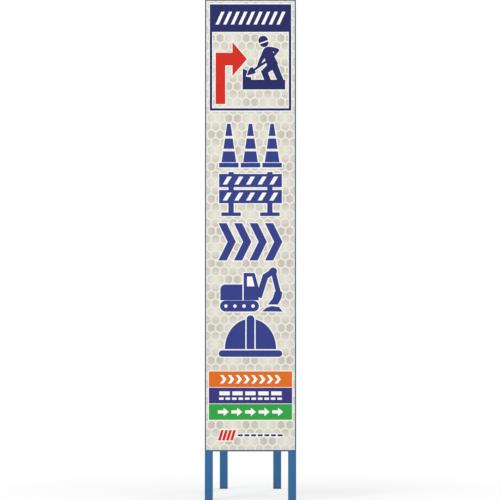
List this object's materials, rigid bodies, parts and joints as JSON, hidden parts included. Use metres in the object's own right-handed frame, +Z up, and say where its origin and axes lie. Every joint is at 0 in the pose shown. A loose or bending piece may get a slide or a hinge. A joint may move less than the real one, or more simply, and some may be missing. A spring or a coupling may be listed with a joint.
{
  "type": "roadworks sign frame",
  "caption": "Tall slim roadworks sign: an angle-steel frame with a printed board, and a rear stand that folds flat and is held open by a hook stay.",
  "frame": {"origin": "on the ground, midway between the front and rear feet and between the two sides", "axes": "+Z up; the board faces -Y and leans back; +X to the right as seen from the front"},
  "size_m": [0.282, 0.4852, 1.5353],
  "materials": {
    "frame_paint": "satin blue enamel",
    "zinc_plate": "bright zinc plate",
    "board_core": "black polyethylene core",
    "board_skin": "coated aluminium skin",
    "reflective_sheet": "honeycomb reflective film",
    "rivet": "painted rivet heads",
    "print_navy": "printed navy",
    "print_blue": "printed blue",
    "print_red": "printed red",
    "print_orange": "printed orange",
    "print_green": "printed green",
    "print_white": "printed white"
  },
  "bodies": {
    "front_frame": {"left_stile": "frame_paint", "right_stile": "frame_paint", "top_rail": "frame_paint", "hinge_rail": "frame_paint", "upper_cross_bar": "frame_paint", "stay_rail": "frame_paint", "lower_cross_bar": "frame_paint", "bottom_rail": "frame_paint", "left_hinge_lug": "frame_paint", "right_hinge_lug": "frame_paint", "stay_lugs": "frame_paint", "board_core": "board_core", "board_front_skin": "board_skin", "board_back_skin": "board_skin", "reflective_sheet": "reflective_sheet", "board_rivets": "rivet", "hinge_bolts": "zinc_plate", "hinge_washers": "zinc_plate", "hinge_nuts": "zinc_plate", "stay_bolt": "zinc_plate", "stay_washers": "zinc_plate", "stay_nut": "zinc_plate"},
    "rear_stand": {"left_rear_leg": "frame_paint", "right_rear_leg": "frame_paint", "stand_top_bar": "frame_paint", "hook_bar": "frame_paint", "weight_bar": "frame_paint"},
    "stay": {"hook_stay": "frame_paint"}
  },
  "joints": [
    {"name": "stand_fold", "type": "hinge", "parent": "front_frame", "child": "rear_stand", "pos_m": [0, 0.02848, 1.43371], "axis": [-1, 0, 0], "range_deg": [0, 18]},
    {"name": "stay_lift", "type": "hinge", "parent": "front_frame", "child": "stay", "pos_m": [0, -0.10332, 0.68624], "axis": [1, 0, 0], "range_deg": [0, 92.39]}
  ],
  "couplings": [
    {"joint": "stay_lift", "follows": "stand_fold", "ratio": 5.1324}
  ]
}
